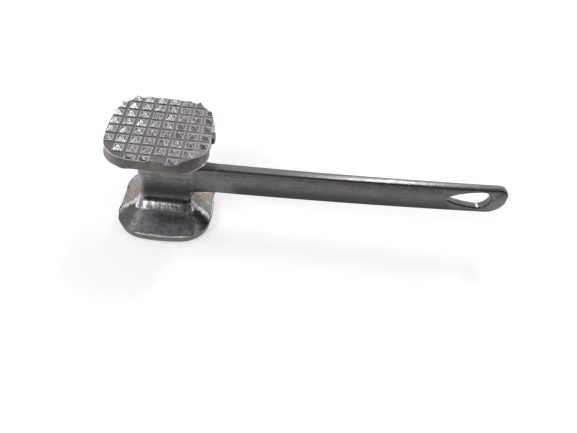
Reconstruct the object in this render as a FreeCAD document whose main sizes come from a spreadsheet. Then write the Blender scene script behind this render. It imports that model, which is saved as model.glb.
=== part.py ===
import FreeCAD, Part
import math
import os
import Sketcher
from FreeCAD import Placement, Rotation, Vector

# A cast double-sided meat mallet, in millimetres.
# The origin is the centre of the lower striking face, in the plane of its tooth tips.
# +Z points up through both pads and +X along the handle. The parting plane is y = 0.

doc = FreeCAD.newDocument("MeatMallet")

# Driving dimensions
sheet = doc.addObject("Spreadsheet::Sheet", "Sizes")
DRIVING_SIZES = [
    # Both striking pads
    ("pad_width", 58.0),
    ("pad_side_radius", 90.0),
    ("pad_corner_radius", 16.0),
    ("pad_wall", 5.2),
    ("pad_rim_fillet", 0.8),
    ("flare_rise", 7.4),
    ("head_height", 65.0),
    # The flat neck between the pads, and the blend at its feet
    ("waist_length", 33.0),
    ("waist_depth", 10.4),
    ("waist_corner_radius", 4.6),
    ("foot_height", 3.0),
    ("foot_fillet", 2.4),
    # Pyramid teeth of the upper face
    ("coarse_pitch", 7.4),
    ("coarse_rows", 8),
    ("coarse_base", 5.9),
    ("coarse_tip", 0.9),
    ("coarse_height", 2.1),
    # Pyramid teeth of the lower face
    ("fine_pitch", 4.5),
    ("fine_rows", 13),
    ("fine_base", 3.7),
    ("fine_tip", 0.6),
    ("fine_height", 1.3),
    ("tooth_inset", 0.2),
    # Handle, measured from the middle of the head
    ("handle_reach", 212.5),
    ("handle_height", 19.5),
    ("handle_drop", 1.3),
    ("handle_rise", 7.3),
    ("handle_bow_radius", 3440.0),
    ("handle_root_thickness", 5.9),
    ("handle_tip_thickness", 5.1),
    ("handle_draft", 5.0),
    ("handle_edge_fillet", 0.7),
    ("root_fillet", 3.0),
    ("root_end", 33.0),
    ("blend_step", 0.28),
    ("tip_top_radius", 7.0),
    ("tip_lower_radius", 12.0),
    # Hanging eye and its teardrop hole
    ("eye_length", 45.0),
    ("hole_end_wall", 9.9),
    ("hole_length", 28.2),
    ("hole_large_radius", 6.7),
    ("hole_small_radius", 1.7),
    ("hole_side_radius", 75.0),
    ("hole_tilt", 4.0),
    # Casting gate remnant on the upper pad
    ("gate_width", 5.6),
    ("gate_proud", 1.7),
    ("gate_tip_radius", 0.5),
]
for row, (alias, value) in enumerate(DRIVING_SIZES, start=1):
    sheet.set(f"A{row}", alias)
    sheet.set(f"B{row}", str(value))
    sheet.setAlias(f"B{row}", alias)
doc.recompute()


def size(alias):
    """Read one driving dimension from the sheet."""
    return float(sheet.get(alias))


def origin_plane(body, role):
    """Find one of a body's own origin planes."""
    return next(plane for plane in body.Origin.OriginFeatures if plane.Role == role)


def body_sketch(body, name, role, offset=None):
    """Start a sketch on an origin plane of its body, raised by an expression."""
    sketch = body.newObject("Sketcher::SketchObject", name)
    sketch.AttachmentSupport = (origin_plane(body, role), [""])
    sketch.MapMode = "FlatFace"
    if offset:
        sketch.setExpression("AttachmentOffset.Base.z", offset)
    return sketch


def arc(centre_x, centre_y, radius, start, end):
    """An arc of a circle that runs anticlockwise from one angle to the other, in degrees."""
    circle = Part.Circle(Vector(centre_x, centre_y, 0), Vector(0, 0, 1), radius)
    return Part.ArcOfCircle(circle, math.radians(start), math.radians(end))


def line(start, end):
    return Part.LineSegment(Vector(*start, 0), Vector(*end, 0))


def bind(sketch, kind, *references, value, expression):
    """Add one dimension to a sketch and tie it to the sheet."""
    index = sketch.addConstraint(Sketcher.Constraint(kind, *references, value))
    sketch.setExpression(f"Constraints[{index}]", expression)


def join_tangent(sketch, joints):
    """Join edge ends smoothly: each joint is edge, end, edge, end."""
    for joint in joints:
        sketch.addConstraint(Sketcher.Constraint("Tangent", *joint))


START, END, CENTRE = 1, 2, 3
ORIGIN = (-1, 1)


def pad_outline(sketch):
    """The rounded square of a striking pad: four bulged sides and four corner arcs."""
    half = size("pad_width") / 2
    side = size("pad_side_radius")
    corner = size("pad_corner_radius")
    # The corner arc's centre lies on the diagonal, and touches both side arcs from inside.
    reach = side - half
    diagonal = (-reach + math.sqrt(2 * (side - corner) ** 2 - reach ** 2)) / 2
    swing = math.degrees(math.atan2(diagonal, diagonal + reach))
    for quarter in range(4):
        turn = 90 * quarter
        cosine = round(math.cos(math.radians(turn)))
        sine = round(math.sin(math.radians(turn)))
        sketch.addGeometry(arc(-reach * cosine, -reach * sine, side, turn - swing, turn + swing))
        sketch.addGeometry(arc(diagonal * (cosine - sine), diagonal * (sine + cosine), corner,
                               turn + swing, turn + 90 - swing))
    join_tangent(sketch, [(edge, END, (edge + 1) % 8, START) for edge in range(8)])
    for quarter in range(4):
        side_arc = 2 * quarter
        bind(sketch, "Radius", side_arc, value=side, expression="Sizes.pad_side_radius")
        bind(sketch, "Radius", side_arc + 1, value=corner, expression="Sizes.pad_corner_radius")
        across, along = ("DistanceX", "DistanceY") if quarter % 2 == 0 else ("DistanceY", "DistanceX")
        sign = -1 if quarter < 2 else 1
        away = "Sizes.pad_side_radius - Sizes.pad_width / 2"
        bind(sketch, across, *ORIGIN, side_arc, CENTRE, value=sign * reach,
             expression=f"-({away})" if sign < 0 else away)
        sketch.addConstraint(Sketcher.Constraint(along, *ORIGIN, side_arc, CENTRE, 0.0))


def waist_outline(sketch):
    """The rounded rectangle of the waist: right side first, then anticlockwise."""
    across = size("waist_length") / 2
    depth = size("waist_depth") / 2
    corner = size("waist_corner_radius")
    flat_x = across - corner
    flat_y = depth - corner
    sketch.addGeometry(line((across, -flat_y), (across, flat_y)))
    sketch.addGeometry(arc(flat_x, flat_y, corner, 0, 90))
    sketch.addGeometry(line((flat_x, depth), (-flat_x, depth)))
    sketch.addGeometry(arc(-flat_x, flat_y, corner, 90, 180))
    sketch.addGeometry(line((-across, flat_y), (-across, -flat_y)))
    sketch.addGeometry(arc(-flat_x, -flat_y, corner, 180, 270))
    sketch.addGeometry(line((-flat_x, -depth), (flat_x, -depth)))
    sketch.addGeometry(arc(flat_x, -flat_y, corner, 270, 360))
    join_tangent(sketch, [(edge, END, (edge + 1) % 8, START) for edge in range(8)])
    for edge in (0, 4):
        sketch.addConstraint(Sketcher.Constraint("Vertical", edge))
    for edge in (2, 6):
        sketch.addConstraint(Sketcher.Constraint("Horizontal", edge))
    for edge in (1, 3, 5, 7):
        bind(sketch, "Radius", edge, value=corner, expression="Sizes.waist_corner_radius")
    bind(sketch, "DistanceX", *ORIGIN, 0, START, value=across, expression="Sizes.waist_length / 2")
    bind(sketch, "DistanceX", *ORIGIN, 4, START, value=-across, expression="-Sizes.waist_length / 2")
    bind(sketch, "DistanceY", *ORIGIN, 2, START, value=depth, expression="Sizes.waist_depth / 2")
    bind(sketch, "DistanceY", *ORIGIN, 6, START, value=-depth, expression="-Sizes.waist_depth / 2")


def edges_at_height(shape, height):
    """Names of the edges that lie flat at one height."""
    return [
        f"Edge{number}"
        for number, edge in enumerate(shape.Edges, start=1)
        if abs(edge.BoundBox.ZMin - height) < 1e-4 and abs(edge.BoundBox.ZMax - height) < 1e-4
    ]


def striking_pad(name):
    """A pad, built with its toothed side down: rim wall, hipped back, and foot of the waist."""
    body = doc.addObject("PartDesign::Body", name)
    base = body_sketch(body, f"{name}_outline", "XY_Plane")
    pad_outline(base)
    wall = body.newObject("PartDesign::Pad", f"{name}_wall")
    wall.Profile = base
    wall.setExpression("Length", "Sizes.pad_wall")

    rim = body_sketch(body, f"{name}_rim", "XY_Plane", "Sizes.pad_wall")
    pad_outline(rim)
    neck = body_sketch(body, f"{name}_neck", "XY_Plane", "Sizes.pad_wall + Sizes.flare_rise")
    waist_outline(neck)
    flare = body.newObject("PartDesign::AdditiveLoft", f"{name}_flare")
    flare.Profile = rim
    flare.Sections = [neck]
    flare.Ruled = True

    foot_base = body_sketch(body, f"{name}_foot_base", "XY_Plane",
                            "Sizes.pad_wall + Sizes.flare_rise")
    waist_outline(foot_base)
    foot = body.newObject("PartDesign::Pad", f"{name}_foot")
    foot.Profile = foot_base
    foot.setExpression("Length", "Sizes.foot_height")
    doc.recompute()

    foot_blend = body.newObject("PartDesign::Fillet", f"{name}_foot_blend")
    foot_blend.Base = (foot, edges_at_height(foot.Shape, size("pad_wall") + size("flare_rise")))
    foot_blend.setExpression("Radius", "Sizes.foot_fillet")
    doc.recompute()

    rim_blend = body.newObject("PartDesign::Fillet", f"{name}_rim_blend")
    rim_blend.Base = (foot_blend, edges_at_height(foot_blend.Shape, size("pad_wall")))
    rim_blend.setExpression("Radius", "Sizes.pad_rim_fillet")
    return body


# Striking pads, the upper one turned over
lower_pad = striking_pad("lower_pad")
lower_pad.setExpression("Placement.Base.z", "Sizes.fine_height")

upper_pad = striking_pad("upper_pad")
upper_pad.Placement = Placement(Vector(0, 0, 0), Rotation(Vector(1, 0, 0), 180))
upper_pad.setExpression("Placement.Base.z", "Sizes.fine_height + Sizes.head_height")

# Waist, from one foot to the other
waist = doc.addObject("PartDesign::Body", "waist")
waist_section = body_sketch(waist, "waist_section", "XY_Plane")
waist_outline(waist_section)
waist_column = waist.newObject("PartDesign::Pad", "waist_column")
waist_column.Profile = waist_section
PAD_STACK = "(Sizes.pad_wall + Sizes.flare_rise + Sizes.foot_height)"
waist_column.setExpression("Length", f"Sizes.head_height - 2 * {PAD_STACK}")
waist.setExpression("Placement.Base.z", f"Sizes.fine_height + {PAD_STACK}")
doc.recompute()


def teeth(name, kind, level, upward):
    """A square grid of blunt pyramids, clipped to the pad's outline, one solid for each tooth."""
    pitch = size(f"{kind}_pitch")
    rows = round(size(f"{kind}_rows"))
    base = size(f"{kind}_base") / 2
    tip = size(f"{kind}_tip") / 2
    height = size(f"{kind}_height") * upward
    outline = doc.getObject("lower_pad_outline").Shape.Wires[0].copy()
    outline.Placement = Placement()
    inner = outline.makeOffset2D(-size("tooth_inset"))
    face = Part.Face(inner)
    prism = face.extrude(Vector(0, 0, height))
    solids = []
    for row in range(rows):
        for column in range(rows):
            x = (column - (rows - 1) / 2) * pitch
            y = (row - (rows - 1) / 2) * pitch
            if not face.isInside(Vector(x, y, 0), 1e-6, True):
                continue
            corners = [(-1, -1), (1, -1), (1, 1), (-1, 1), (-1, -1)]
            foot = Part.makePolygon([Vector(x + i * base, y + j * base, 0) for i, j in corners])
            crest = Part.makePolygon([Vector(x + i * tip, y + j * tip, height) for i, j in corners])
            tooth = Part.makeLoft([foot, crest], True, True)
            whole = all(face.isInside(vertex.Point, 1e-6, True) for vertex in foot.Vertexes)
            solids.extend([tooth] if whole else tooth.common(prism).Solids)
    group = doc.addObject("Part::Feature", name)
    group.Shape = Part.makeCompound(solids)
    group.Placement = Placement(Vector(0, 0, level), Rotation())
    return group


UPPER_LEVEL = size("fine_height") + size("head_height")
coarse_teeth = teeth("coarse_teeth", "coarse", UPPER_LEVEL, 1)
fine_teeth = teeth("fine_teeth", "fine", size("fine_height"), -1)

# Casting gate remnant: a pointed ridge down the upper pad's handle-side wall, at the parting plane
gate_stub = doc.addObject("PartDesign::Body", "gate_stub")
gate_plan = body_sketch(gate_stub, "gate_plan", "XY_Plane")


def gate_outline(sketch):
    """A low triangle whose back is sunk to the pad wall's own curve, with a rounded point."""
    half = size("pad_width") / 2
    side = size("pad_side_radius")
    wide = size("gate_width") / 2
    proud = size("gate_proud")
    swing = math.degrees(math.asin(wide / side))
    wall_x = half - side * (1 - math.cos(math.radians(swing)))
    sketch.addGeometry(arc(half - side, 0, side, -swing, swing))
    sketch.addGeometry(line((wall_x, wide), (half + proud, 0)))
    sketch.addGeometry(line((half + proud, 0), (wall_x, -wide)))
    for joint in [(0, END, 1, START), (1, END, 2, START), (2, END, 0, START)]:
        sketch.addConstraint(Sketcher.Constraint("Coincident", *joint))
    bind(sketch, "Radius", 0, value=side, expression="Sizes.pad_side_radius")
    bind(sketch, "DistanceX", *ORIGIN, 0, CENTRE, value=half - side,
         expression="Sizes.pad_width / 2 - Sizes.pad_side_radius")
    sketch.addConstraint(Sketcher.Constraint("PointOnObject", 0, CENTRE, -1))
    sketch.addConstraint(Sketcher.Constraint("PointOnObject", 1, END, -1))
    bind(sketch, "DistanceX", *ORIGIN, 1, END, value=half + proud,
         expression="Sizes.pad_width / 2 + Sizes.gate_proud")
    bind(sketch, "DistanceY", *ORIGIN, 0, END, value=wide, expression="Sizes.gate_width / 2")
    bind(sketch, "DistanceY", *ORIGIN, 0, START, value=-wide, expression="-Sizes.gate_width / 2")


gate_outline(gate_plan)
gate_ridge = gate_stub.newObject("PartDesign::Pad", "gate_ridge")
gate_ridge.Profile = gate_plan
gate_ridge.setExpression("Length", "Sizes.pad_wall - Sizes.pad_rim_fillet")
gate_stub.setExpression(
    "Placement.Base.z",
    "Sizes.fine_height + Sizes.head_height - Sizes.pad_wall + Sizes.pad_rim_fillet",
)
doc.recompute()
gate_point = gate_stub.newObject("PartDesign::Fillet", "gate_point")
gate_point.Base = (gate_ridge, [
    f"Edge{number}"
    for number, edge in enumerate(gate_ridge.Shape.Edges, start=1)
    if edge.BoundBox.XMin > size("pad_width") / 2 + size("gate_proud") - 1e-3
])
gate_point.setExpression("Radius", "Sizes.gate_tip_radius")
doc.recompute()

# Handle
# Its centre line is one shallow arc, bowed upwards, from the waist's end to the tip.
# The blank is the side outline, drafted both ways from the parting plane, cut to the plan outline.


def bow_circle():
    """Centre and radius of the centre line's arc, in the side view."""
    near = Vector(size("waist_length") / 2, -size("handle_drop"), 0)
    far = Vector(size("handle_reach"), size("handle_rise") - size("handle_drop"), 0)
    chord = far - near
    radius = size("handle_bow_radius")
    upward = Vector(-chord.y, chord.x, 0).normalize()
    return (near + far) / 2 + upward * math.sqrt(radius ** 2 - (chord.Length / 2) ** 2), radius


def direction(centre, point):
    """Direction from a centre to a point, in degrees."""
    return math.degrees(math.atan2(point[1] - centre[1], point[0] - centre[0]))


def level_on_circle(centre, radius, x):
    """Height of the lower half of a circle at one x."""
    return centre[1] - math.sqrt(radius ** 2 - (x - centre[0]) ** 2)


INNER_END = size("waist_length") / 2 - size("waist_corner_radius") - size("root_fillet")
INNER_END_CELLS = "Sizes.waist_length / 2 - Sizes.waist_corner_radius - Sizes.root_fillet"
LOWER_TIP_CELLS = "min(Sizes.tip_lower_radius; Sizes.handle_height - Sizes.tip_top_radius - 0.2)"


def side_outline(sketch):
    """The handle from the side: root fillets, bowed edges and the two-radius tip."""
    centre, bow_radius = bow_circle()
    half = size("handle_height") / 2
    reach = size("handle_reach")
    fillet = size("root_fillet")
    waist_end = size("waist_length") / 2
    top = size("tip_top_radius")
    lower = min(size("tip_lower_radius"), 2 * half - top - 0.2)
    under, over = bow_radius + half, bow_radius - half
    drop, rise = size("handle_drop"), size("handle_rise")

    under_fillet = (waist_end + fillet, level_on_circle(centre, under + fillet, waist_end + fillet))
    over_fillet = (waist_end + fillet, level_on_circle(centre, over - fillet, waist_end + fillet))
    lower_tip = (reach - lower, level_on_circle(centre, under - lower, reach - lower))
    top_tip = (reach - top, level_on_circle(centre, over + top, reach - top))

    geometry = [
        arc(*centre[:2], under, direction(centre, under_fillet), direction(centre, lower_tip)),
        arc(*lower_tip, lower, direction(centre, lower_tip), 0),
        line((reach, lower_tip[1]), (reach, top_tip[1])),
        arc(*top_tip, top, 0, direction(top_tip, centre)),
        arc(*centre[:2], over, direction(centre, over_fillet), direction(centre, top_tip)),
        arc(*over_fillet, fillet, 180, direction(centre, over_fillet) + 360),
        line((waist_end, over_fillet[1]), (INNER_END, over_fillet[1])),
        line((INNER_END, over_fillet[1]), (INNER_END, under_fillet[1])),
        line((INNER_END, under_fillet[1]), (waist_end, under_fillet[1])),
        arc(*under_fillet, fillet, direction(centre, under_fillet) + 180, 180),
    ]
    for edge in geometry:
        sketch.addGeometry(edge)
    bottom, tip_low, end, tip_high, upper, over_blend, over_in, inner, under_in, under_blend = range(10)
    bow = sketch.addGeometry(arc(*centre[:2], bow_radius, direction(centre, (waist_end, -drop)),
                                 direction(centre, (reach, rise - drop))), True)

    join_tangent(sketch, [
        (bottom, END, tip_low, START), (tip_low, END, end, START), (end, END, tip_high, START),
        (tip_high, END, upper, END), (upper, START, over_blend, END),
        (under_blend, START, bottom, START),
    ])
    for joint in [(over_blend, START, over_in, START), (over_in, END, inner, START),
                  (inner, END, under_in, START), (under_in, END, under_blend, END),
                  (bottom, CENTRE, bow, CENTRE), (upper, CENTRE, bow, CENTRE)]:
        sketch.addConstraint(Sketcher.Constraint("Coincident", *joint))
    for edge in (over_in, under_in):
        sketch.addConstraint(Sketcher.Constraint("Horizontal", edge))
    for edge in (end, inner):
        sketch.addConstraint(Sketcher.Constraint("Vertical", edge))
    for blend, corner in [(over_blend, START), (under_blend, END)]:
        sketch.addConstraint(Sketcher.Constraint("Horizontal", blend, corner, blend, CENTRE))
        bind(sketch, "DistanceX", *ORIGIN, blend, CENTRE, value=waist_end + fillet,
             expression="Sizes.waist_length / 2 + Sizes.root_fillet")
        bind(sketch, "Radius", blend, value=fillet, expression="Sizes.root_fillet")
    bow_cells = "Sizes.handle_bow_radius"
    for edge, value, cells in [
        (bow, bow_radius, bow_cells),
        (bottom, under, f"{bow_cells} + Sizes.handle_height / 2"),
        (upper, over, f"{bow_cells} - Sizes.handle_height / 2"),
        (tip_low, lower, LOWER_TIP_CELLS),
        (tip_high, top, "Sizes.tip_top_radius"),
    ]:
        bind(sketch, "Radius", edge, value=value, expression=cells)
    for kind, edge, place, value, cells in [
        ("DistanceX", bow, START, waist_end, "Sizes.waist_length / 2"),
        ("DistanceY", bow, START, -drop, "-Sizes.handle_drop"),
        ("DistanceX", bow, END, reach, "Sizes.handle_reach"),
        ("DistanceY", bow, END, rise - drop, "Sizes.handle_rise - Sizes.handle_drop"),
        ("DistanceX", end, START, reach, "Sizes.handle_reach"),
        ("DistanceX", inner, START, INNER_END, INNER_END_CELLS),
    ]:
        bind(sketch, kind, *ORIGIN, edge, place, value=value, expression=cells)


def plan_outline(sketch):
    """The handle from above: the blend out of the waist, then a slight taper to the tip."""
    corner = size("waist_corner_radius")
    step = size("blend_step")
    leave = Vector(size("waist_length") / 2 - corner + math.sqrt(corner ** 2 - (corner - step) ** 2),
                   size("waist_depth") / 2 - step, 0)
    meet = Vector(size("root_end"), size("handle_root_thickness") / 2, 0)
    end = Vector(size("handle_reach") + size("tip_top_radius"), size("handle_tip_thickness") / 2, 0)
    taper = (end - meet).normalize()
    outward = Vector(-taper.y, taper.x, 0)
    radius = (leave - meet).Length ** 2 / (2 * (leave - meet).dot(outward))
    centre = meet + outward * radius

    cells = {
        "inner": (INNER_END, INNER_END_CELLS),
        "leave_x": (leave.x, "Sizes.waist_length / 2 - Sizes.waist_corner_radius"
                    " + sqrt(Sizes.waist_corner_radius ^ 2"
                    " - (Sizes.waist_corner_radius - Sizes.blend_step) ^ 2)"),
        "leave_y": (leave.y, "Sizes.waist_depth / 2 - Sizes.blend_step"),
        "meet_x": (meet.x, "Sizes.root_end"),
        "meet_y": (meet.y, "Sizes.handle_root_thickness / 2"),
        "end_x": (end.x, "Sizes.handle_reach + Sizes.tip_top_radius"),
        "end_y": (end.y, "Sizes.handle_tip_thickness / 2"),
    }

    def place(edge, point, x, y, side):
        """Hold one corner of the outline at its distances from the origin."""
        value, expression = cells[x]
        bind(sketch, "DistanceX", *ORIGIN, edge, point, value=value, expression=expression)
        value, expression = cells[y]
        bind(sketch, "DistanceY", *ORIGIN, edge, point, value=side * value,
             expression=expression if side > 0 else f"-({expression})")

    # The upper side runs from the inner end to the tip, and the lower side back again.
    sketch.addGeometry(line((INNER_END, leave.y), (leave.x, leave.y)))
    sketch.addGeometry(arc(centre.x, centre.y, radius, direction(centre, leave),
                           direction(centre, meet)))
    sketch.addGeometry(line((meet.x, meet.y), (end.x, end.y)))
    sketch.addGeometry(line((end.x, end.y), (end.x, -end.y)))
    sketch.addGeometry(line((end.x, -end.y), (meet.x, -meet.y)))
    sketch.addGeometry(arc(centre.x, -centre.y, radius, -direction(centre, meet),
                           -direction(centre, leave)))
    sketch.addGeometry(line((leave.x, -leave.y), (INNER_END, -leave.y)))
    sketch.addGeometry(line((INNER_END, -leave.y), (INNER_END, leave.y)))
    for joint in [(0, END, 1, START), (2, END, 3, START), (3, END, 4, START), (5, END, 6, START),
                  (6, END, 7, START), (7, END, 0, START)]:
        sketch.addConstraint(Sketcher.Constraint("Coincident", *joint))
    join_tangent(sketch, [(1, END, 2, START), (4, END, 5, START)])
    place(0, START, "inner", "leave_y", 1)
    place(0, END, "leave_x", "leave_y", 1)
    place(2, START, "meet_x", "meet_y", 1)
    place(2, END, "end_x", "end_y", 1)
    place(4, START, "end_x", "end_y", -1)
    place(4, END, "meet_x", "meet_y", -1)
    place(6, START, "leave_x", "leave_y", -1)
    place(6, END, "inner", "leave_y", -1)


def teardrop_outline(sketch):
    """The hanging hole: a large end, a small end and two bulged flanks, lying along the handle."""
    large = size("hole_large_radius")
    small = size("hole_small_radius")
    flank = size("hole_side_radius")
    apart = size("hole_length") - large - small
    # Each flank touches both ends from outside, so its centre is known by two distances.
    to_large, to_small = flank - large, flank - small
    along = (to_large ** 2 - to_small ** 2 + apart ** 2) / (2 * apart)
    down = math.sqrt(to_large ** 2 - along ** 2)
    # The large end's centre is the sketch's origin, and the small end lies towards -X.
    above = (-along, -down)
    below = (-along, down)
    small_end = (-apart, 0)
    sketch.addGeometry(arc(0, 0, large, direction(below, (0, 0)), direction(above, (0, 0))))
    sketch.addGeometry(arc(*above, flank, direction(above, (0, 0)), direction(above, small_end)))
    sketch.addGeometry(arc(*small_end, small, direction(above, small_end),
                           direction(below, small_end) + 360))
    sketch.addGeometry(arc(*below, flank, direction(below, small_end), direction(below, (0, 0))))
    join_tangent(sketch, [(edge, END, (edge + 1) % 4, START) for edge in range(4)])
    sketch.addConstraint(Sketcher.Constraint("Coincident", 0, CENTRE, *ORIGIN))
    sketch.addConstraint(Sketcher.Constraint("PointOnObject", 2, CENTRE, -1))
    bind(sketch, "DistanceX", 2, CENTRE, 0, CENTRE, value=apart,
         expression="Sizes.hole_length - Sizes.hole_large_radius - Sizes.hole_small_radius")
    bind(sketch, "Radius", 0, value=large, expression="Sizes.hole_large_radius")
    bind(sketch, "Radius", 2, value=small, expression="Sizes.hole_small_radius")
    bind(sketch, "Radius", 1, value=flank, expression="Sizes.hole_side_radius")
    bind(sketch, "Radius", 3, value=flank, expression="Sizes.hole_side_radius")


def loose_sketch(name, draw, rotation=Rotation()):
    """A sketch outside any body, drawn and then placed."""
    sketch = doc.addObject("Sketcher::SketchObject", name)
    draw(sketch)
    sketch.Placement = Placement(Vector(0, 0, 0), rotation)
    return sketch


def prism(name, sketch, forward, backward):
    """A solid drawn out of a sketch both ways, by expressions."""
    extrusion = doc.addObject("Part::Extrusion", name)
    extrusion.Base = sketch
    extrusion.DirMode = "Normal"
    extrusion.Solid = True
    extrusion.setExpression("LengthFwd", forward)
    extrusion.setExpression("LengthRev", backward)
    return extrusion


def boolean(kind, name, base, tool):
    result = doc.addObject(f"Part::{kind}", name)
    result.Base = base
    result.Tool = tool
    return result


SIDE_VIEW = Rotation(Vector(1, 0, 0), 90)
HEAD_MIDDLE = "Sizes.fine_height + Sizes.head_height / 2"

handle_side = loose_sketch("handle_side", side_outline, SIDE_VIEW)
handle_side.setExpression("Placement.Base.z", HEAD_MIDDLE)
handle_depth = prism("handle_depth", handle_side, "Sizes.waist_depth / 2", "Sizes.waist_depth / 2")
handle_depth.setExpression("TaperAngle", "-Sizes.handle_draft")
handle_depth.setExpression("TaperAngleRev", "-Sizes.handle_draft")

handle_plan = loose_sketch("handle_plan", plan_outline)
handle_plan.setExpression("Placement.Base.z", HEAD_MIDDLE)
handle_width = prism("handle_width", handle_plan, "Sizes.head_height / 2", "Sizes.head_height / 2")

handle_blank = boolean("Common", "handle_blank", handle_depth, handle_width)
doc.recompute()


def is_flank(face):
    """True for the handle's two broad faces."""
    u_low, u_high, v_low, v_high = face.ParameterRange
    return abs(face.normalAt((u_low + u_high) / 2, (v_low + v_high) / 2).y) > 0.9


def long_edges(shape):
    """Numbers of the edges between the broad faces and the drafted facets, clear of the waist."""
    waist_end = size("waist_length") / 2
    chosen = []
    for number, edge in enumerate(shape.Edges, start=1):
        flanks = [is_flank(face) for face in shape.ancestorsOfType(edge, Part.Face)]
        if sorted(flanks) == [False, True] and edge.BoundBox.XMax > waist_end:
            chosen.append(number)
    return chosen


handle_soft = doc.addObject("Part::Fillet", "handle_soft")
handle_soft.Base = handle_blank
edge_radius = size("handle_edge_fillet")
handle_soft.Edges = [(number, edge_radius, edge_radius) for number in long_edges(handle_blank.Shape)]
doc.recompute()

# Hanging hole, cut through the blank along the bar's own slope
hanging_hole = loose_sketch("hanging_hole", teardrop_outline)
hole_x = "Sizes.handle_reach - Sizes.hole_end_wall - Sizes.hole_large_radius"
bow_centre, bow_radius = bow_circle()
hole_level = level_on_circle(
    bow_centre, bow_radius,
    size("handle_reach") - size("hole_end_wall") - size("hole_large_radius"),
)
hanging_hole.Placement = Placement(
    Vector(0, 0, size("fine_height") + size("head_height") / 2 + hole_level),
    SIDE_VIEW.multiply(Rotation(Vector(0, 0, 1), size("hole_tilt"))),
)
hanging_hole.setExpression("Placement.Base.x", hole_x)
hole_depth = prism("hole_depth", hanging_hole, "Sizes.waist_depth", "Sizes.waist_depth")
handle_holed = boolean("Cut", "handle_holed", handle_soft, hole_depth)

# Where the blank is parted into the handle's three stretches
stretches = [
    ("root_stretch", "0", "Sizes.root_end"),
    ("bar_stretch", "Sizes.root_end", "Sizes.handle_reach - Sizes.eye_length - Sizes.root_end"),
    ("eye_stretch", "Sizes.handle_reach - Sizes.eye_length", "Sizes.eye_length + Sizes.root_end"),
]
for name, start, length in stretches:
    stretch = doc.addObject("Part::Box", name)
    stretch.setExpression("Length", length)
    stretch.setExpression("Width", "2 * Sizes.waist_depth")
    stretch.setExpression("Height", "Sizes.head_height")
    stretch.setExpression("Placement.Base.x", start)
    stretch.setExpression("Placement.Base.y", "-Sizes.waist_depth")
    stretch.setExpression("Placement.Base.z", "Sizes.fine_height")

handle_bar = boolean("Common", "handle_bar", handle_holed, doc.getObject("bar_stretch"))
hanging_eye = boolean("Common", "hanging_eye", handle_holed, doc.getObject("eye_stretch"))
root_blank = boolean("Common", "root_blank", handle_holed, doc.getObject("root_stretch"))
handle_root = boolean("Cut", "handle_root", root_blank, waist)
doc.recompute()

# Check the whole document, then write each sub-part to its own file
NODES = [lower_pad, upper_pad, waist, handle_root, handle_bar, hanging_eye,
         coarse_teeth, fine_teeth, gate_stub]
for item in doc.Objects:
    if "Invalid" in item.State or "Error" in item.State:
        raise RuntimeError(f"{item.Label} failed: {item.State}")
for node in NODES:
    if node.Shape.isNull() or not node.Shape.isValid() or not node.Shape.Solids:
        raise RuntimeError(f"{node.Label} has no valid solid")

os.makedirs("parts", exist_ok=True)
for node in NODES:
    node.Shape.exportStep(os.path.join("parts", f"{node.Label}.step"))
    solids = len(node.Shape.Solids)
    print(f"{node.Label}: {solids} solid(s), {node.Shape.Volume / 1000:.2f} cm3")
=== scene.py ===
import math
import random

import bmesh
import bpy
from mathutils import Matrix, Vector


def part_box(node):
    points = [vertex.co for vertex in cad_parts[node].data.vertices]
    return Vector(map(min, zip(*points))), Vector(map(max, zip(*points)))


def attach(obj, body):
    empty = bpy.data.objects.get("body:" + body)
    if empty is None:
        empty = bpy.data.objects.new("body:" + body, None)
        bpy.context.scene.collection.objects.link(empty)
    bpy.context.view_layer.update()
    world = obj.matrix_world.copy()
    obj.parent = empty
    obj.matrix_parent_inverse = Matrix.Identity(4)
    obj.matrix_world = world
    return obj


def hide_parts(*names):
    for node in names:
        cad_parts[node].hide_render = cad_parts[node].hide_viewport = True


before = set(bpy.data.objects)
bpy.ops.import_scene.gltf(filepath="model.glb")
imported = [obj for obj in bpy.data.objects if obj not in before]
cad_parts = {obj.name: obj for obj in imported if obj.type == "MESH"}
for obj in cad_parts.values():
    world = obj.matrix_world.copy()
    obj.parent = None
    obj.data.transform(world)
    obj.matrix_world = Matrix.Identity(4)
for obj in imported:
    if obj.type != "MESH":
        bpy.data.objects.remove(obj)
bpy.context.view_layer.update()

MM = 0.001
draw = random.Random(7)


def mm(*values):
    """A place or a size given in millimetres."""
    return Vector(values) * MM


# ------------------------------------------------------------------ shader helpers

def node(tree, kind, inputs=None, **settings):
    made = tree.nodes.new(kind)
    for key, value in settings.items():
        setattr(made, key, value)
    for key, value in (inputs or {}).items():
        if isinstance(value, bpy.types.NodeSocket):
            tree.links.new(value, made.inputs[key])
        else:
            made.inputs[key].default_value = value
    return made


def bare_material(name):
    material = bpy.data.materials.new(name)
    material.use_nodes = True
    material.node_tree.nodes.clear()
    return material, material.node_tree


# ------------------------------------------------------------------ studio

def seen_directly(tree):
    """1 for camera, glossy and transmission rays, 0 for the light that falls on the object."""
    rays = node(tree, "ShaderNodeLightPath")
    first = node(tree, "ShaderNodeMath", {0: rays.outputs["Is Camera Ray"], 1: rays.outputs["Is Glossy Ray"]},
                 operation="MAXIMUM")
    return node(tree, "ShaderNodeMath", {0: first.outputs[0], 1: rays.outputs["Is Transmission Ray"]},
                operation="MAXIMUM").outputs[0]


def white_world(ambient):
    world = bpy.data.worlds.new("White studio")
    bpy.context.scene.world = world
    world.use_nodes = True
    tree = world.node_tree
    tree.nodes.clear()
    strength = node(tree, "ShaderNodeMapRange", {"Value": seen_directly(tree), "To Min": ambient, "To Max": 1.0})
    back = node(tree, "ShaderNodeBackground", {"Color": (1, 1, 1, 1), "Strength": strength.outputs[0]})
    out = node(tree, "ShaderNodeOutputWorld")
    tree.links.new(back.outputs[0], out.inputs["Surface"])


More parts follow.
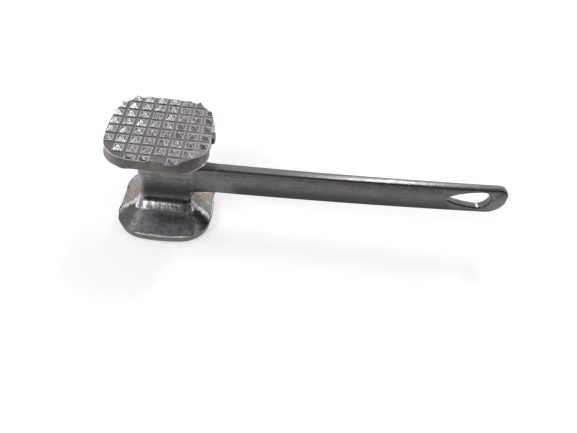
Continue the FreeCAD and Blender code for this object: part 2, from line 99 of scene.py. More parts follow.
def lay_floor(lift):
    bpy.ops.mesh.primitive_plane_add(size=6, location=(0, 0, 0))
    floor = bpy.context.object
    floor.name = "floor"
    material, tree = bare_material("Pale floor")
    paper = node(tree, "ShaderNodeBsdfDiffuse", {"Color": (0.82, 0.82, 0.82, 1)})
    glow = node(tree, "ShaderNodeMath", {0: seen_directly(tree), 1: lift}, operation="MULTIPLY")
    white = node(tree, "ShaderNodeEmission", {"Color": (1, 1, 1, 1), "Strength": glow.outputs[0]})
    both = node(tree, "ShaderNodeAddShader", {0: paper.outputs[0], 1: white.outputs[0]})
    out = node(tree, "ShaderNodeOutputMaterial")
    tree.links.new(both.outputs[0], out.inputs["Surface"])
    floor.data.materials.append(material)


def hang_flag(name, centre, width, height, tone, aim=(60, 0, 35)):
    """A card, dark or bright, that only the metal's reflections see: a wall of the room, a window, or a painted shadow
    on the floor.
    """
    bpy.ops.mesh.primitive_plane_add(size=1, location=mm(*centre))
    card = bpy.context.object
    card.name = name
    card.scale = (width * MM, height * MM, 1)
    card.rotation_euler = (mm(*centre) - mm(*aim)).to_track_quat("Z", "Y").to_euler()
    material, tree = bare_material(f"Card {name}")
    shine = node(tree, "ShaderNodeEmission", {"Color": (1, 1, 1, 1), "Strength": tone})
    out = node(tree, "ShaderNodeOutputMaterial")
    tree.links.new(shine.outputs[0], out.inputs["Surface"])
    card.data.materials.append(material)
    card.visible_camera = card.visible_diffuse = card.visible_shadow = False
    card.visible_transmission = False


def hang_softbox(name, centre, aim, width, height, radiance):
    """An area lamp at a place, turned to a point; its power gives the brightness of its face."""
    lamp = bpy.data.lights.new(name, "AREA")
    lamp.shape = "RECTANGLE"
    lamp.size = width * MM
    lamp.size_y = height * MM
    lamp.energy = radiance * math.pi * width * height * MM * MM
    box = bpy.data.objects.new(name, lamp)
    bpy.context.scene.collection.objects.link(box)
    box.location = mm(*centre)
    box.rotation_euler = (mm(*centre) - mm(*aim)).to_track_quat("Z", "Y").to_euler()


def set_camera():
    """The photograph's view: high over the front, rolled a little to the left."""
    lens = bpy.data.cameras.new("Camera")
    lens.sensor_width = 36
    lens.lens = 30.03
    camera = bpy.data.objects.new("Camera", lens)
    bpy.context.scene.collection.objects.link(camera)
    place = mm(58.62, -212.06, 245.01)
    aim = mm(76.22, -32.22, 40)
    level = (aim - place).to_track_quat("-Z", "Y").to_matrix().to_4x4()
    camera.matrix_world = Matrix.Translation(place) @ level @ Matrix.Rotation(math.radians(9.83), 4, "Z")
    lens.clip_start = 0.01
    bpy.context.scene.camera = camera


set_camera()
bpy.context.scene.view_settings.view_transform = "Standard"
white_world(ambient=0.45)
lay_floor(lift=0.45)
hang_softbox("key", (-470, -500, 800), (0, 0, 60), 380, 380, 6.0)
hang_softbox("back strip", (320, 620, 830), (120, 0, 45), 110, 400, 18.0)
hang_flag("front_room", (0, -430, 260), 1100, 400, 0.05)
hang_flag("front_floor", (0, -250, 1), 1100, 380, 0.22, aim=(0, -250, 0))
# A dim card on the floor under the handle, seen only in reflections: the handle's shadow on the floor, painted in.
hang_flag("painted_handle_shadow", (130, -19, 0.5), 180, 24, 0.3, aim=(130, -19, 0))
hang_flag("hood", (160, -290, 505), 580, 320, 0.2)
hang_flag("left_window", (-480, 20, 300), 80, 360, 3.8)
hang_flag("right_window", (370, -50, 470), 40, 240, 2.5)
hang_flag("right_room", (480, -220, 160), 520, 480, 0.08)
hang_flag("left_card", (-520, 120, 420), 520, 620, 0.3)
hang_flag("right_card", (420, 60, 620), 520, 520, 0.15)
hang_flag("top_card", (-60, -30, 800), 420, 520, 0.33)


# ------------------------------------------------------------------ bench: picking and working by hand

def clear_bench():
    if bpy.context.object and bpy.context.object.mode != "OBJECT":
        bpy.ops.object.mode_set(mode="OBJECT")
    bpy.ops.object.select_all(action="DESELECT")


def edit(piece):
    clear_bench()
    piece.select_set(True)
    bpy.context.view_layer.objects.active = piece
    bpy.ops.object.mode_set(mode="EDIT")


def done():
    bpy.ops.object.mode_set(mode="OBJECT")


def pick(kind, test):
    """Selects, in edit mode, just the verts, edges or faces that pass the test."""
    bpy.ops.mesh.select_mode(type={"verts": "VERT", "edges": "EDGE", "faces": "FACE"}[kind])
    bpy.ops.mesh.select_all(action="DESELECT")
    mesh = bmesh.from_edit_mesh(bpy.context.object.data)
    for item in getattr(mesh, kind):
        if test(item):
            item.select_set(True)
    mesh.select_flush_mode()
    bmesh.update_edit_mesh(bpy.context.object.data)


def middle(edge):
    return (edge.verts[0].co + edge.verts[1].co) / 2


def at_level(z):
    """Passes what lies in the flat level z, in millimetres."""
    return lambda item: all(abs(v.co.z - z * MM) < 1e-5 for v in getattr(item, "verts", [item]))


def slide(x=0, y=0, z=0):
    bpy.ops.transform.translate(value=mm(x, y, z))


def stretch(x=1, y=1, z=1, about=(0, 0, 0)):
    bpy.ops.transform.resize(value=(x, y, z), center_override=mm(*about))


def rounded_plate(width, depth, corner, level, steps):
    """A flat rounded rectangle at a level: corners in 12 steps, each side in the given number."""
    bpy.ops.mesh.select_all(action="DESELECT")
    bpy.ops.mesh.primitive_plane_add(size=1, location=(0, 0, 0))
    stretch(width * MM, depth * MM, 1)
    slide(z=level)
    bpy.ops.mesh.select_mode(type="VERT")
    bpy.ops.mesh.bevel(offset=corner * MM, segments=12, affect="VERTICES", profile=0.5)
    sides = (width - 2 * corner) * MM, (depth - 2 * corner) * MM
    pick("edges", lambda e: at_level(level)(e) and any(abs(e.calc_length() - s) < 1e-6 for s in sides))
    bpy.ops.mesh.subdivide(number_cuts=steps - 1)


# Sizes in millimetres, and levels over the lower tooth tips. The upper pad is the lower one turned over about MID.
PAD = 58.0
WALL = 5.2
FACE = 1.3
RIM = FACE + WALL
MID = 33.8
TOP = 2 * MID - FACE
WAIST = (33.0, 10.4, 4.6)
PITCH = 7.4
FOOT = 18.4
NOTCH = FACE + 1.9

# The crease in a pad's slope, as a share of the way out from the waist to the rim.
CREASE = 0.34

# The rough cast end of a slope: where its front border starts, how long it is and how far out it runs, how wide the
# rubbed hip beside it is, which gets a painted highlight, and how much further the rough metal reaches at the back.
HIP_START = (15.4, 3.4)
HIP_LENGTH = 13.4
HIP_RUN = 5.3
HIP_EDGE = 3.2
REAR = 7.8

# Along the handle: where the bar leaves the waist, where the eye starts, the middle of the hole, and the tip.
JOIN = 33
SPLIT = 167.5
HOLE = 195.9
TIP = 212.5


def cove_height(out):
    """Height of the ground sweep, from the waist (out = 0) to the rim (out = 1): a hollow, a crease, a flat."""
    flat = RIM + 6.4 * (1 - out)
    if out >= CREASE:
        return flat
    hollow = 1 - out / CREASE
    turn = max(0.0, 1 - out / 0.02)
    return flat + 2.5 * hollow + 2.7 * hollow ** 6 + 0.3 * (1 - math.sqrt(1 - turn ** 2))


def waist_plate(out, level):
    """The outline part of the way out from the waist to the rim: its corners fan out early."""
    corner = WAIST[2] + 11.4 * out ** 0.75
    rounded_plate(WAIST[0] + out * (PAD - WAIST[0]), WAIST[1] + out * (PAD - WAIST[1]), corner, level, 24)


# Where the grinding has cut the upper face's front edge back: at x, by how much.
CUT_BACK = [(-29, 0), (-25, 0.8), (-15.5, 1.3), (-6.5, 1.7), (-0.6, 1.9), (0.4, 2.7), (6.6, 2.9), (7.8, 0.5),
            (14.2, 0.4), (15.6, 3.0), (22, 3.2), (26, 1.5), (29, 0)]


def cut_back(x):
    """How far back the upper face's front edge lies at x."""
    for (start, first), (end, last) in zip(CUT_BACK, CUT_BACK[1:]):
        if start <= x <= end:
            return first + (last - first) * (x - start) / (end - start)
    return 0


def pad_plate(level):
    """A pad's bulged outline as one flat face."""
    rounded_plate(PAD, PAD, 16, level, 24)
    bpy.ops.mesh.select_all(action="SELECT")
    bpy.ops.transform.tosphere(value=0.33)
    widest = max(v.co.x for v in bmesh.from_edit_mesh(bpy.context.object.data).verts) / MM
    stretch(PAD / 2 / widest, PAD / 2 / widest, 1, about=(0, 0, level))


def grind_front(low, high, most=9.0):
    """Cuts back the front edge of all that lies between two levels, by no more than a given most."""
    mesh = bmesh.from_edit_mesh(bpy.context.object.data)
    places = sorted({round(v.co.x / MM, 3) for v in mesh.verts if v.co.y < -12 * MM and low < v.co.z / MM < high})
    for x in places:
        pick("verts", lambda v: abs(v.co.x / MM - x) < 0.001 and v.co.y < -12 * MM and low < v.co.z / MM < high)
        slide(y=min(most, cut_back(x)))


def start_mesh(name):
    """An empty piece, ready for its first primitive."""
    clear_bench()
    bpy.ops.mesh.primitive_plane_add(size=MM)
    piece = bpy.context.object
    piece.name = name
    edit(piece)
    bpy.ops.mesh.delete(type="VERT")
    return piece


def hip(x):
    """How far from the parting plane the rough cast end of a slope reaches, at a distance from the middle."""
    start, reach = HIP_START
    return reach + (x - start) * HIP_RUN / HIP_LENGTH


def on_end(place):
    """Passes what lies on the rough end of a slope, its place given in millimetres."""
    reach = hip(abs(place.x))
    return abs(place.x) > 16 and -reach < place.y < reach + REAR and RIM + 0.3 < place.z < FOOT - 3


def cast_pad(name, upper=False):
    pad = start_mesh(name)
    pad_plate(RIM)
    pick("faces", lambda f: True)
    bpy.ops.mesh.extrude_region_move(TRANSFORM_OT_translate={"value": mm(0, 0, -WALL)})
    pick("faces", at_level(RIM))
    bpy.ops.mesh.delete(type="ONLY_FACE")
    turns = [1.0, 0.96, *[CREASE + (0.96 - CREASE) * k / 6 for k in range(5, 0, -1)],
             *[CREASE * (k / 12) ** 1.7 for k in range(12, -1, -1)]]
    for out in turns[1:]:
        waist_plate(out, cove_height(out))
    steps = [cove_height(out) for out in turns]
    pick("faces", lambda f: len(f.verts) > 20 and f.calc_center_median().z > (RIM + 0.1) * MM)
    bpy.ops.mesh.delete(type="ONLY_FACE")
    for low, high in zip(steps, steps[1:]):
        pick("edges", lambda e: at_level(low)(e) or at_level(high)(e))
        bpy.ops.mesh.bridge_edge_loops()
    pick("edges", at_level(FOOT))
    bpy.ops.mesh.edge_face_add()
    for level, width in ((RIM, 0.8), (FACE, 0.4)):
        pick("edges", at_level(level))
        bpy.ops.mesh.bevel(offset=width * MM, segments=3, profile=0.5)
    if upper:
        bpy.ops.mesh.select_all(action="SELECT")
        bpy.ops.mesh.bisect(plane_co=mm(0, 0, NOTCH), plane_no=(0, 0, 1))
        grind_front(FACE - 0.1, FACE + 0.5)
        grind_front(NOTCH - 0.1, NOTCH + 0.1, most=1.2)
    for side in (1, -1):
        for front, further in ((1, 0), (1, REAR), (-1, 0), (-1, HIP_EDGE)):
            pick("faces", lambda f: f.calc_center_median().x * side > 12 * MM and f.calc_center_median().y * front > 0
                 and RIM + 0.3 < f.calc_center_median().z / MM < FOOT - 2)
            bpy.ops.mesh.bisect(plane_co=mm(side * HIP_START[0], front * (HIP_START[1] + further), 0),
                                plane_no=(-HIP_RUN * front * side, HIP_LENGTH, 0))
    bpy.ops.mesh.select_all(action="SELECT")
    if upper:
        stretch(1, 1, -1, about=(0, 0, MID))
    bpy.ops.mesh.normals_make_consistent(inside=False)
    done()
    return pad


def bow(x):
    """Height of the handle's centre line: a long shallow bow from the head to the tip."""
    start, end, radius = 16.5, TIP, 3440.0
    run, rise = end - start, 7.3
    along = (x - start) / run
    return MID - 1.3 + rise * along - (x - start) * (end - x) / (2 * radius)


def thickness(x):
    """The bar thins towards its tip, and swells where it runs flush into the waist."""
    swell = max(0.0, min(1.0, (JOIN - x) / 16.5)) ** 1.6
    return 6.4 - 1.2 * max(0.0, x - 16.5) / 196.0 + 3.8 * swell


def bar_blank(name, start, end, stations):
    """A bar with a shallow ridge above and below, laid along the bow."""
    bar = start_mesh(name)
    bpy.ops.mesh.primitive_cube_add(size=1)
    stretch((end - start) * MM, MM, (20.1 - 0.52) * MM)
    slide(x=(start + end) / 2, z=-0.3)
    bpy.ops.mesh.bisect(plane_co=(0, 0, 0), plane_no=(0, 1, 0))
    for face in (1, -1):
        pick("verts", lambda v: abs(v.co.y) < 1e-6 and v.co.z * face > 0)
        slide(z=0.26 * face)
    for x in stations:
        bpy.ops.mesh.select_all(action="SELECT")
        bpy.ops.mesh.bisect(plane_co=mm(x, 0, 0), plane_no=(1, 0, 0))
    for x in [start, *stations, end]:
        pick("verts", lambda v: abs(v.co.x - x * MM) < 1e-6)
        stretch(1, thickness(x), 1)
        slide(z=bow(x))
    return bar


def voxel_fuse(size, rounds):
    fuse = bpy.context.object.modifiers.new("fuse", "REMESH")
    fuse.mode = "VOXEL"
    fuse.voxel_size = size * MM
    bpy.ops.object.modifier_apply(modifier="fuse")
    soften = bpy.context.object.modifiers.new("soften", "SMOOTH")
    soften.factor = 0.5
    soften.iterations = rounds
    bpy.ops.object.modifier_apply(modifier="soften")


def cut_off(plane, direction):
    """Cuts the piece at a plane, drops what lies beyond it and closes the cut."""
    bpy.ops.mesh.select_all(action="SELECT")
    bpy.ops.mesh.bisect(plane_co=mm(*plane), plane_no=direction, clear_outer=True, use_fill=True)


def cast_waist(name):
    waist = start_mesh(name)
    waist_plate(0, FOOT - 3)
    pick("faces", lambda f: True)
    bpy.ops.mesh.extrude_region_move(TRANSFORM_OT_translate={"value": mm(0, 0, 2 * (MID - FOOT + 3))})
    bpy.ops.mesh.select_all(action="SELECT")
    bpy.ops.mesh.normals_make_consistent(inside=False)
    done()
    root = bar_blank("root_bar", 6, 38, [12, 16, 20, 24, 28, JOIN])
    done()
    clear_bench()
    root.select_set(True)
    waist.select_set(True)
    bpy.context.view_layer.objects.active = waist
    bpy.ops.object.join()
    voxel_fuse(0.4, 14)
    edit(waist)
    cut_off((0, 0, FOOT), (0, 0, -1))
    cut_off((0, 0, 2 * MID - FOOT), (0, 0, 1))
    cut_off((JOIN, 0, 0), (1, 0, 0))
    done()
    return waist


def by_hole(place):
    """Passes the hanging hole's walls and edges."""
    return 172 < place.x < 205 and abs(place.z - bow(place.x)) < 8.3


def bar_edge(place):
    """Names the bar's edge that a place lies on."""
    if by_hole(place):
        return "hole"
    if place.z < bow(place.x):
        return "below"
    return "near top" if place.y < 0 else "far top"


def cast_handle():
    """The bar and the eye with its hanging hole, shaped as one and then parted."""
    bar = bar_blank("handle_bar_casting", JOIN, TIP, [50, 70, 90, 110, 130, 150, SPLIT, 180, 192])
    tip = bow(TIP)
    for side, radius in ((1, 7), (-1, 9.5)):
        pick("edges", lambda e: all(abs(v.co.x - TIP * MM) < 1e-6 for v in e.verts)
             and (middle(e).z - tip * MM) * side > 0.0095)
        bpy.ops.mesh.bevel(offset=radius * MM, segments=10, profile=0.5)
    done()
    hole = start_mesh("hole_cutter")
    middle_line = bow(HOLE)
    for x, z, radius in ((HOLE, middle_line + 0.1, 6.7), (189.5, middle_line - 0.2, 5.8),
                         (183.0, middle_line - 0.6, 4.1), (177.3, middle_line - 0.9, 1.7)):
        bpy.ops.mesh.primitive_cylinder_add(vertices=40, radius=radius * MM, depth=0.02, location=mm(x, 0, z),
                                            rotation=(math.pi / 2, 0, 0))
    bpy.ops.mesh.select_all(action="SELECT")
    bpy.ops.mesh.convex_hull()
    done()
    clear_bench()
    bpy.context.view_layer.objects.active = bar
    bar.select_set(True)
    cut = bar.modifiers.new("hole", "BOOLEAN")
    cut.operation = "DIFFERENCE"
    cut.object = hole
    bpy.ops.object.modifier_apply(modifier="hole")
    bpy.data.objects.remove(hole)
    edit(bar)
    edges = {"hole": 0.9, "near top": 1.0, "far top": 0.45, "below": 0.6}
    for where, width in edges.items():
        pick("edges", lambda e: len(e.link_faces) == 2 and e.calc_face_angle(0) > math.radians(50)
             and middle(e).x > (JOIN + 0.01) * MM and bar_edge(middle(e) / MM) == where)
        bpy.ops.mesh.bevel(offset=width * MM, segments=4, profile=0.5)
    done()
    clear_bench()
    bar.select_set(True)
    bpy.ops.object.duplicate()
    eye = bpy.context.object
    eye.name = "hanging_eye_casting"
    edit(eye)
    cut_off((SPLIT, 0, 0), (-1, 0, 0))
    edit(bar)
    cut_off((SPLIT, 0, 0), (1, 0, 0))
    done()
    return bar, eye


# The upper face's teeth, row by row from the back: the columns that have one.
COARSE_ROWS = [range(1, 7), range(8), range(8), range(8), range(8), range(8), range(1, 7), (2, 3, 5)]


def one_tooth(name, base, tip, height, ledge):
    """A blunt pyramid on a low square step, its foot a little under the face it stands on."""
    tooth = start_mesh(name)
    bpy.ops.mesh.primitive_cube_add(size=1)
    stretch(base * MM, base * MM, (ledge + 0.4) * MM)
    slide(z=(ledge - 0.4) / 2)
    pick("faces", at_level(ledge))
    bpy.ops.mesh.inset(thickness=0.11 * base * MM)
    bpy.ops.mesh.extrude_region_move(TRANSFORM_OT_translate={"value": mm(0, 0, height - ledge)})
    stretch(tip / (base * 0.78), tip / (base * 0.78), 1, about=(0, 0, height))
    return tooth


def spread_teeth(name, tooth, cells, level, up, lean):
    """Copies the tooth to every cell, each scaled a little by the draw, and joins the copies."""
    done()
    copies = []
    for x, y in cells:
        clear_bench()
        tooth.select_set(True)
        bpy.context.view_layer.objects.active = tooth
        bpy.ops.object.duplicate()
        copy = bpy.context.object
        edit(copy)
        bpy.ops.mesh.select_all(action="SELECT")
        stretch(draw.uniform(1 - lean, 1 + lean), draw.uniform(1 - lean, 1 + lean), draw.uniform(1 - lean, 1) * up)
        slide(x, y, level)
        done()
        copies.append(copy)
    bpy.data.objects.remove(tooth)
    clear_bench()
    for copy in copies:
        copy.select_set(True)
    bpy.context.view_layer.objects.active = copies[0]
    bpy.ops.object.join()
    teeth = bpy.context.object
    teeth.name = name
    edit(teeth)
    bpy.ops.mesh.select_all(action="SELECT")
    bpy.ops.mesh.normals_make_consistent(inside=False)
    done()
    return teeth


def lump(piece, size, depth, way="NORMAL"):
    """Pushes a surface in and out by a cloudy pattern, as a sand casting or a hand-held grinder leaves it."""
    cloud = bpy.data.textures.new(f"{piece.name} lumps {size}", "CLOUDS")
    cloud.noise_scale = size * MM
    cloud.cloud_type = "COLOR" if way == "RGB_TO_XYZ" else "GRAYSCALE"
    push = piece.modifiers.new("lumps", "DISPLACE")
    push.texture = cloud
    push.texture_coords = "LOCAL"
    push.direction = way
    push.strength = depth * MM
    push.mid_level = 0.5
    clear_bench()
    bpy.context.view_layer.objects.active = piece
    bpy.ops.object.modifier_apply(modifier="lumps")


def trim(piece, level, depth, inset):
    """Keeps just what stands inside the pad's outline, down from a level."""
    cutter = start_mesh("outline_cutter")
    pad_plate(level)
    pick("faces", lambda f: True)
    stretch(1 - inset / 29, 1 - inset / 29, 1, about=(0, 0, level))
    bpy.ops.mesh.extrude_region_move(TRANSFORM_OT_translate={"value": mm(0, 0, depth)})
    if level > MID:
        grind_front(level - 1, level + depth + 1)
    bpy.ops.mesh.select_all(action="SELECT")
    bpy.ops.mesh.normals_make_consistent(inside=False)
    done()
    clear_bench()
    bpy.context.view_layer.objects.active = piece
    keep = piece.modifiers.new("outline", "BOOLEAN")
    keep.operation = "INTERSECT"
    keep.object = cutter
    bpy.ops.object.modifier_apply(modifier="outline")
    bpy.data.objects.remove(cutter)


def cast_coarse_teeth():
    tooth = one_tooth("tooth", 5.7, 0.8, 2.1, 0.3)
    bpy.ops.mesh.select_all(action="SELECT")
    bpy.ops.mesh.subdivide(number_cuts=1)
    cells = [((column - 3.5) * PITCH, (3.5 - row) * PITCH) for row, columns in enumerate(COARSE_ROWS)
             for column in columns]
    teeth = spread_teeth("coarse_teeth_casting", tooth, cells, TOP, 1, 0.05)
    lump(teeth, 3.0, 0.35, "RGB_TO_XYZ")
    trim(teeth, TOP - 0.3, 2.4, 0.2)
    return teeth


def cast_fine_teeth():
    tooth = one_tooth("small_tooth", 3.7, 0.6, 1.3, 0.3)
    reach = range(-6, 7)
    cells = [(4.5 * i, 4.5 * j) for i in reach for j in reach if abs(i) + abs(j) < 11]
    teeth = spread_teeth("fine_teeth_casting", tooth, cells, FACE, -1, 0.04)
    trim(teeth, FACE + 0.3, -FACE - 0.3, 1.8)
    return teeth


def cast_gate():
    """The stub left where the runner was broken off."""
    low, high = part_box("gate_stub")
    low, high = low / MM, high / MM
    stub = start_mesh("gate_stub_casting")
    bpy.ops.mesh.primitive_cube_add(size=1)
    stretch(*((high - low) * MM))
    slide(*((high + low) / 2))
    pick("edges", lambda e: middle(e).x > (high.x - 0.1) * MM)
    bpy.ops.mesh.bevel(offset=0.7 * MM, segments=3)
    bpy.ops.mesh.select_all(action="SELECT")
    bpy.ops.mesh.subdivide(number_cuts=3)
    done()
    lump(stub, 1.2, 0.5)
    return stub


# ------------------------------------------------------------------ finishes

def effect(name, inputs, outputs):
    """An empty effect group: its named inputs with their values, and its named value outputs."""
    group = bpy.data.node_groups.new(name, "ShaderNodeTree")
    for label, value in inputs.items():
        kind = "NodeSocketVector" if isinstance(value, tuple) else "NodeSocketFloat"
        group.interface.new_socket(name=label, in_out="INPUT", socket_type=kind).default_value = value
    for label in outputs:
        group.interface.new_socket(name=label, in_out="OUTPUT", socket_type="NodeSocketFloat")
    return group, node(group, "NodeGroupInput").outputs, node(group, "NodeGroupOutput").inputs


def math_node(tree, operation, *values):
    return node(tree, "ShaderNodeMath", dict(enumerate(values)), operation=operation).outputs[0]


def spread(tree, value, low, high, bottom=0.0, top=1.0):
    """Stretches a value's range low to high over bottom to top."""
    return node(tree, "ShaderNodeMapRange", {"Value": value, "From Min": low, "From Max": high, "To Min": bottom,
                                             "To Max": top}).outputs[0]


def place_on_part(tree, size):
    """The place on the part, counted in steps of a size given in millimetres."""
    place = node(tree, "ShaderNodeTexCoord").outputs["Object"]
    fine = node(tree, "ShaderNodeVectorMath", {0: place, "Scale": 1000.0}, operation="SCALE").outputs[0]
    return node(tree, "ShaderNodeVectorMath", {0: fine, 1: size}, operation="DIVIDE").outputs[0]


def make_tool_marks():
    """Fine lines left by a belt or a wheel, long one way and narrow the others."""
    group, given, result = effect("Tool marks", {"Size mm": (10.0, 0.5, 0.5), "Depth mm": 0.01}, ["Tone", "Height"])
    place = place_on_part(group, given["Size mm"])
    lines = node(group, "ShaderNodeTexNoise", {"Vector": place, "Scale": 1.0, "Detail": 4.0, "Roughness": 0.65})
    tone = spread(group, lines.outputs[0], 0.3, 0.7)
    group.links.new(tone, result["Tone"])
    group.links.new(math_node(group, "MULTIPLY", tone, given["Depth mm"]), result["Height"])
    return group


def make_cast_grain():
    """The skin of a sand casting: cloudy lumps with small pits in them."""
    group, given, result = effect("Cast grain", {"Size mm": 1.0, "Depth mm": 0.02}, ["Tone", "Height"])
    place = place_on_part(group, given["Size mm"])
    lumps = node(group, "ShaderNodeTexNoise", {"Vector": place, "Scale": 1.0, "Detail": 5.0, "Roughness": 0.6})
    pits = node(group, "ShaderNodeTexVoronoi", {"Vector": place, "Scale": 1.7}, feature="SMOOTH_F1")
    both = node(group, "ShaderNodeMath", {0: spread(group, pits.outputs["Distance"], 0.0, 0.6), 1: 0.35,
                                          2: math_node(group, "MULTIPLY", lumps.outputs[0], 0.9)},
                operation="MULTIPLY_ADD").outputs[0]
    tone = spread(group, both, 0.4, 0.95)
    group.links.new(tone, result["Tone"])
    group.links.new(math_node(group, "MULTIPLY", tone, given["Depth mm"]), result["Height"])
    return group


def make_edge_wear_and_highlight():
    """1 on sharp edges, where handling has rubbed the metal bright and a highlight is painted in, and 0 on the flats.
    """
    group, given, result = effect("Edge wear and painted highlight", {"Width mm": 0.3}, ["Mask"])
    radius = math_node(group, "MULTIPLY", given["Width mm"], MM)
    rounded = node(group, "ShaderNodeBevel", {"Radius": radius}, samples=6)
    flat = node(group, "ShaderNodeNewGeometry").outputs["Normal"]
    agree = node(group, "ShaderNodeVectorMath", {0: rounded.outputs[0], 1: flat}, operation="DOT_PRODUCT")
    turned = spread(group, agree.outputs["Value"], 0.99, 0.9)
    group.links.new(turned, result["Mask"])
    return group


def make_corner_shade():
    """1 deep in corners and between teeth, where shade falls, and 0 in the open: the mask for painted shade."""
    group, given, result = effect("Painted corner shade", {"Reach mm": 2.0}, ["Mask"])
    reach = math_node(group, "MULTIPLY", given["Reach mm"], MM)
    open_air = node(group, "ShaderNodeAmbientOcclusion", {"Distance": reach}, samples=6)
    group.links.new(spread(group, open_air.outputs["AO"], 0.95, 0.55), result["Mask"])
    return group


tool_marks = make_tool_marks()
cast_grain = make_cast_grain()
edge_wear_and_highlight = make_edge_wear_and_highlight()
painted_corner_shade = make_corner_shade()


def blend(tree, share, first, second):
    mixed = node(tree, "ShaderNodeMix", {"Factor": share}, data_type="RGBA")
    for socket, colour in ((6, first), (7, second)):
        if isinstance(colour, tuple):
            mixed.inputs[socket].default_value = (*colour, 1)
        else:
            tree.links.new(colour, mixed.inputs[socket])
    return mixed.outputs[2]


def aluminium(name, dark, light, roughness, marks, marks_depth, grain, grain_depth, worn_and_lit=None, edge_width=0.3,
              corner_shade_tone=(0.05, 0.04, 0.035), reach=2.0, blotch=9.0, waves=0.0):
    """One finish of the casting: tones from dark to light in its marks and grain, edges rubbed bright with a painted
    highlight, painted shade in corners.
    """
    material, tree = bare_material(name)
    lines = node(tree, "ShaderNodeGroup", {}, node_tree=tool_marks)
    lines.inputs["Size mm"].default_value = marks
    lines.inputs["Depth mm"].default_value = marks_depth
    skin = node(tree, "ShaderNodeGroup", {}, node_tree=cast_grain)
    skin.inputs["Size mm"].default_value = grain
    skin.inputs["Depth mm"].default_value = grain_depth
    blotches = node(tree, "ShaderNodeGroup", {}, node_tree=cast_grain)
    blotches.inputs["Size mm"].default_value = blotch
    blotches.inputs["Depth mm"].default_value = waves
    shaded_corners = node(tree, "ShaderNodeGroup", {}, node_tree=painted_corner_shade)
    shaded_corners.inputs["Reach mm"].default_value = reach
    fine = math_node(tree, "MULTIPLY_ADD", lines.outputs["Tone"], 0.45,
                     math_node(tree, "MULTIPLY", skin.outputs["Tone"], 0.25))
    tone = math_node(tree, "MULTIPLY_ADD", blotches.outputs["Tone"], 0.3, fine)
    colour = blend(tree, tone, dark, light)
    # Painted shade: the colour darkens towards a dark tone where the corner mask finds little open air.
    colour = blend(tree, math_node(tree, "MULTIPLY", shaded_corners.outputs["Mask"],
                                   spread(tree, blotches.outputs["Tone"], 0.0, 1.0, 0.9, 0.4)), colour, corner_shade_tone)
    rough = spread(tree, tone, 0.0, 1.0, roughness[1], roughness[0])
    # Rubbed edges and painted highlight: sharp edges take the light edge tone and a little less roughness.
    if worn_and_lit:
        edge_mask = node(tree, "ShaderNodeGroup", {}, node_tree=edge_wear_and_highlight)
        edge_mask.inputs["Width mm"].default_value = edge_width
        rubbed_and_lit = math_node(tree, "MULTIPLY", edge_mask.outputs["Mask"], spread(tree, skin.outputs["Tone"], 0.0, 0.4))
        colour = blend(tree, rubbed_and_lit, colour, worn_and_lit)
        rough = math_node(tree, "MULTIPLY_ADD", rubbed_and_lit, -0.1, rough)
    height = math_node(tree, "ADD", lines.outputs["Height"], skin.outputs["Height"])
    height = math_node(tree, "ADD", height, blotches.outputs["Height"])
    bump = node(tree, "ShaderNodeBump", {"Strength": 1.0, "Distance": MM, "Height": height})
    metal = node(tree, "ShaderNodeBsdfPrincipled", {"Metallic": 1.0, "Base Color": colour, "Roughness": rough,
                                                    "Normal": bump.outputs[0]})
    out = node(tree, "ShaderNodeOutputMaterial")
    tree.links.new(metal.outputs[0], out.inputs["Surface"])
    return material


polished = aluminium("Polished slope", (0.12, 0.12, 0.13), (0.52, 0.52, 0.54), (0.10, 0.24), (0.9, 6, 6), 0.012,
                     1.5, 0.006, blotch=5.0, waves=0.09)
underside = aluminium("Ground underside", (0.26, 0.26, 0.27), (0.5, 0.5, 0.52), (0.2, 0.35), (0.7, 7, 7), 0.004,
                      1.5, 0.004)
# A bright band for the rim: rubbed metal, and a painted highlight along the rim's bevel and the upper face's edge.
rim_rubbed_and_lit = aluminium("Rubbed rim with painted highlight", (0.45, 0.45, 0.46), (0.9, 0.9, 0.92), (0.3, 0.45), (1, 1, 1), 0.02, 1.5, 0.02)
hip_rubbed_and_lit = aluminium("Rubbed hip with painted highlight", (0.3, 0.31, 0.32), (0.95, 0.97, 1.0), (0.2, 0.4), (1.2, 1.2, 1.2), 0.14, 1.0, 0.14)
brushed = aluminium("Brushed handle", (0.105, 0.1, 0.098), (0.2, 0.192, 0.189), (0.2, 0.38), (12, 0.7, 0.7), 0.01,
                    1.2, 0.008, waves=0.05)
mottled = aluminium("Cast handle top", (0.09, 0.087, 0.087), (0.24, 0.235, 0.235), (0.2, 0.4), (6, 1, 1), 0.01,
                    1.6, 0.03, blotch=4.0)
waist_metal = aluminium("Brushed waist", (0.105, 0.1, 0.098), (0.35, 0.335, 0.327), (0.2, 0.4), (12, 0.7, 0.7), 0.015,
                        1.2, 0.01, waves=0.04)
upper_wall = aluminium("Sanded upper wall", (0.25, 0.21, 0.2), (0.47, 0.415, 0.395), (0.45, 0.65), (0.6, 0.6, 5), 0.02,
                       1.1, 0.03, (0.6, 0.57, 0.55))
# The same sanded finish as the upper wall, painted about half as bright: painted shade on the lower pad's wall.
lower_wall_shaded = aluminium("Sanded lower wall in painted shade", (0.14, 0.12, 0.115), (0.27, 0.245, 0.235), (0.45, 0.65), (0.6, 0.6, 5),
                       0.02, 1.1, 0.03, (0.5, 0.47, 0.45))
rough_cast = aluminium("Rough cast end", (0.09, 0.07, 0.06), (0.62, 0.54, 0.5), (0.4, 0.75), (1.5, 1.5, 1.5), 0.08,
                       1.3, 0.25, (0.7, 0.66, 0.62))
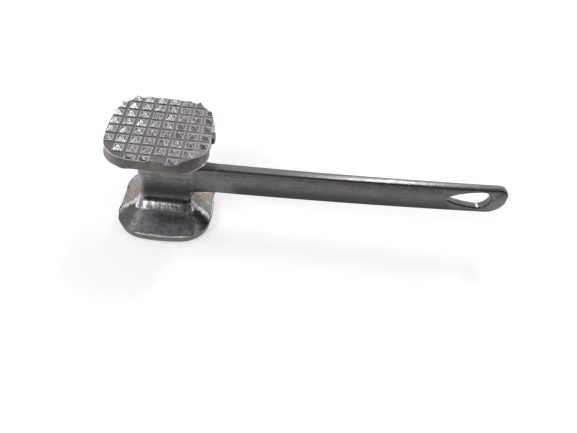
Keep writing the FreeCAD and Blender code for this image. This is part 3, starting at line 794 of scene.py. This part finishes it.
# A smoother ground finish for the front half of the right end, in a darker greenish tone that paints the shade on that
# facet.
ground_end_shaded = aluminium("Ground end in painted shade", (0.09, 0.10, 0.088), (0.3, 0.32, 0.3), (0.25, 0.45), (1.5, 1.5, 1.5), 0.02,
                       1.3, 0.04)
grooves = aluminium("Face between teeth", (0.16, 0.135, 0.14), (0.27, 0.24, 0.25), (0.35, 0.55), (0.8, 0.8, 0.8), 0.02,
                    0.8, 0.02, (0.6, 0.6, 0.6), corner_shade_tone=(0.13, 0.10, 0.105))
toothed = aluminium("Coarse teeth", (0.13, 0.13, 0.13), (0.38, 0.38, 0.38), (0.18, 0.32), (0.8, 0.8, 0.8), 0.025,
                    0.9, 0.035, (0.95, 0.95, 0.95), edge_width=0.45, corner_shade_tone=(0.16, 0.14, 0.14), reach=1.2)


def finish_piece(piece, replaced, slot, *materials):
    clear_bench()
    piece.select_set(True)
    bpy.context.view_layer.objects.active = piece
    bpy.ops.object.shade_smooth_by_angle(angle=math.radians(35))
    piece.data.materials.clear()
    for material in materials:
        piece.data.materials.append(material)
    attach(piece, "root")
    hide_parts(*replaced)


def coat(piece, number, test):
    """Gives the faces that pass the test, by place and normal in millimetres, the piece's material of a number."""
    for face in piece.data.polygons:
        if test(face.center / MM, face.normal):
            face.material_index = number


# The numbers of a pad's finishes, in the order in which it gets its materials. 0 is its slope.
SANDED, GROOVED, ROUGH, RUBBED_AND_LIT, GROUND_SHADED, NECK, HIPPED = range(1, 8)


def coat_pad(pad, upper):
    def upright(place):
        """The same place on the lower pad."""
        return Vector((place.x, place.y, 2 * MID - place.z)) if upper else place

    # The rim's bevel takes the bright rim tone: partly rubbed metal, partly a painted highlight.
    coat(pad, RUBBED_AND_LIT, lambda c, n: upright(c).z < RIM + 0.1)
    coat(pad, SANDED, lambda c, n: upright(c).z < RIM + (0.4 if upper else -0.75))
    if upper:
        coat(pad, RUBBED_AND_LIT, lambda c, n: upright(c).z < FACE + 0.35)
    coat(pad, GROOVED, lambda c, n: upright(c).z < FACE + 0.05)
    coat(pad, NECK, lambda c, n: upright(c).z > FOOT - 1.8)
    coat(pad, ROUGH, lambda c, n: on_end(upright(c)))
    if not upper:
        # The band in front of the rough end takes a near-white tone: rubbed metal with a painted highlight along the
        # hip.
        coat(pad, HIPPED, lambda c, n: on_end(c + Vector((0, HIP_EDGE, 0))) and not on_end(c) and c.y < 0)
    # Painted shade: the right end's front half takes the darker ground tone.
    coat(pad, GROUND_SHADED, lambda c, n: on_end(upright(c)) and c.x > 0 > c.y)


lower, upper = cast_pad("lower_pad_casting"), cast_pad("upper_pad_casting", upper=True)
# The lower pad's foot band by the waist takes the darker brushed tone where the upper pad's takes the waist's tone:
# painted shade in the hollow at the waist's foot.
finish_piece(lower, ["lower_pad"], "polished_aluminium", polished, lower_wall_shaded, grooves, rough_cast, rim_rubbed_and_lit, ground_end_shaded,
             brushed, hip_rubbed_and_lit)
finish_piece(upper, ["upper_pad"], "satin_aluminium", underside, upper_wall, grooves, rough_cast, rim_rubbed_and_lit, ground_end_shaded,
             waist_metal)
coat_pad(lower, False)
coat_pad(upper, True)
waist = cast_waist("waist_and_root")
finish_piece(waist, ["waist", "handle_root"], "polished_aluminium", brushed, waist_metal)
coat(waist, 1, lambda c, n: c.x < 17.5)
finish_piece(cast_coarse_teeth(), ["coarse_teeth"], "cast_aluminium", toothed)
finish_piece(cast_fine_teeth(), ["fine_teeth"], "cast_aluminium", toothed)
# The gate stub takes the darker wall tone: painted shade on its side away from the light.
finish_piece(cast_gate(), ["gate_stub"], "cast_aluminium", lower_wall_shaded)
bar, eye = cast_handle()
finish_piece(bar, ["handle_bar"], "satin_aluminium", brushed, mottled)
finish_piece(eye, ["hanging_eye"], "satin_aluminium", brushed, mottled, rim_rubbed_and_lit)
for piece in (bar, eye):
    coat(piece, 1, lambda c, n: n.z > 0.9 and c.y > -0.3)
# The hanging hole's far lip takes the bright rim tone: a painted highlight where light from above falls into the hole.
coat(eye, 2, lambda c, n: by_hole(c) and 0.3 < n.y < 0.95)
